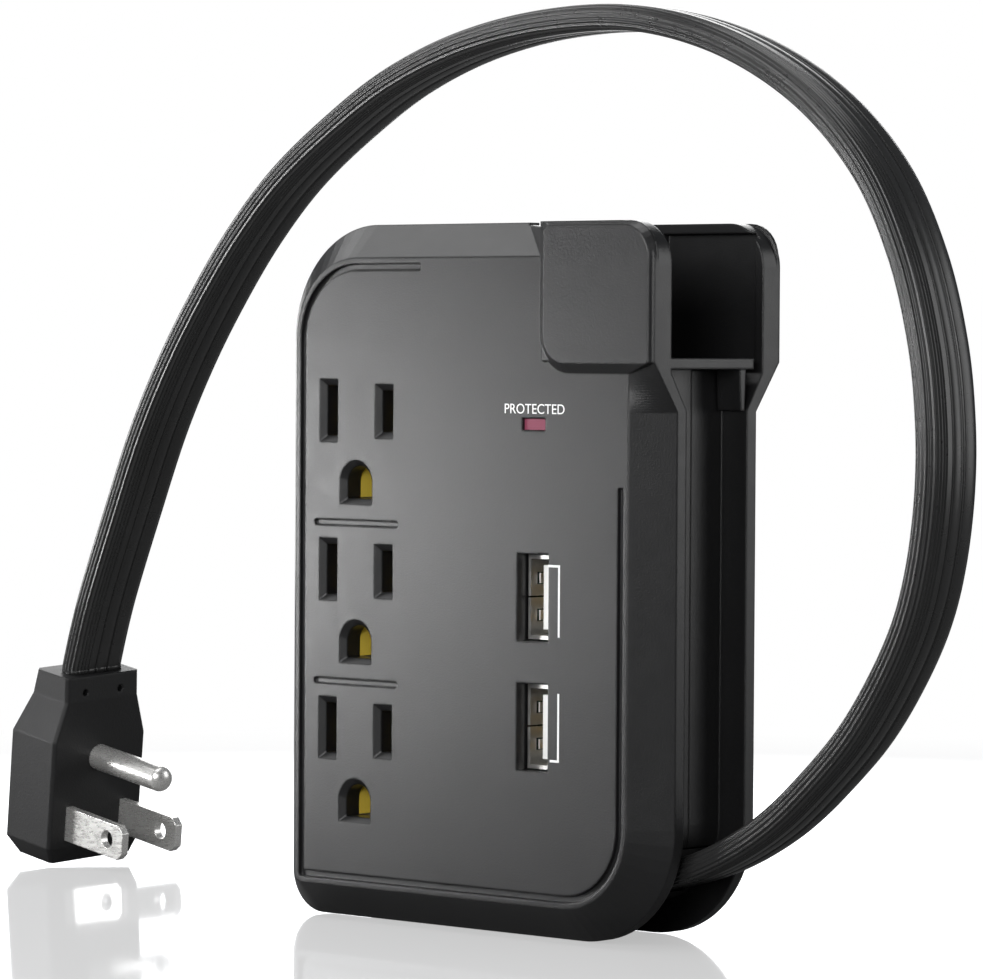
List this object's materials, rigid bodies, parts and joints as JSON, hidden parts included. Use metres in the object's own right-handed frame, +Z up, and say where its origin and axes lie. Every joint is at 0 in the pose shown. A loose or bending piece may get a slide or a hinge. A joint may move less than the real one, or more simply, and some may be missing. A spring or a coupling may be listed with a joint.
{
  "type": "power strip",
  "caption": "Compact upright power strip with a column of sockets, USB ports and a flat cord that winds into a channel round its edge.",
  "frame": {"origin": "middle of the case's footprint on the floor, below the cord channel's middle plane", "axes": "+Z up, -Y out of the socket face, +X towards the side where the cord leaves and the plug dock opens"},
  "size_m": [0.2269, 0.0474, 0.1518],
  "materials": {
    "case_plastic": "satin black, fine grain",
    "carrier_plastic": "cream moulding",
    "contact_brass": "rolled strip",
    "circuit_board": "green solder mask",
    "screw_steel": "zinc plated",
    "varistor_coat": "blue dipped coat",
    "fuse_coat": "white",
    "capacitor_case": "yellow box",
    "resistor_coat": "tan lacquer",
    "usb_shell_steel": "nickel plated",
    "usb_tongue_plastic": "white",
    "contact_gold": "gold flash",
    "ferrite": "sintered grey",
    "winding_tape": "yellow tape",
    "can_sleeve": "dark sleeve",
    "chip_resin": "black resin",
    "choke_sleeve": "black sleeve",
    "fuse_resistor_coat": "green lacquer",
    "lamp_resin": "tinted resin",
    "lens_plastic": "smoked pink",
    "line_insulation": "black",
    "neutral_insulation": "white",
    "ground_insulation": "green",
    "feed_insulation": "red",
    "grommet_rubber": "matt black",
    "cord_jacket": "satin black, one side finely ribbed",
    "plug_plastic": "satin black",
    "prong_metal": "nickel plated"
  },
  "bodies": {
    "root": {"front_cover": "case_plastic", "back_cover": "case_plastic", "case_screws": "screw_steel", "socket_carrier": "carrier_plastic", "socket_back_plate": "carrier_plastic", "line_bus": "contact_brass", "neutral_bus": "contact_brass", "ground_bus": "contact_brass", "surge_board": "circuit_board", "surge_board_screws": "screw_steel", "varistors": "varistor_coat", "thermal_fuse": "fuse_coat", "suppression_capacitor": "capacitor_case", "indicator_resistor": "resistor_coat", "usb_board": "circuit_board", "upper_usb_shell": "usb_shell_steel", "lower_usb_shell": "usb_shell_steel", "usb_tongues": "usb_tongue_plastic", "usb_contacts": "contact_gold", "transformer_core": "ferrite", "transformer_winding": "winding_tape", "input_capacitor": "can_sleeve", "output_capacitors": "can_sleeve", "bridge_rectifier": "chip_resin", "control_chip": "chip_resin", "output_diode": "chip_resin", "filter_choke": "choke_sleeve", "fuse_resistor": "fuse_resistor_coat", "indicator_lamp": "lamp_resin", "indicator_lens": "lens_plastic", "line_wire": "line_insulation", "neutral_wire": "neutral_insulation", "ground_wire": "ground_insulation", "usb_feed_wires": "feed_insulation", "cord_grommet": "grommet_rubber", "cord": "cord_jacket", "plug_body": "plug_plastic", "plug_blades": "prong_metal", "plug_ground_pin": "prong_metal"}
  },
  "joints": []
}
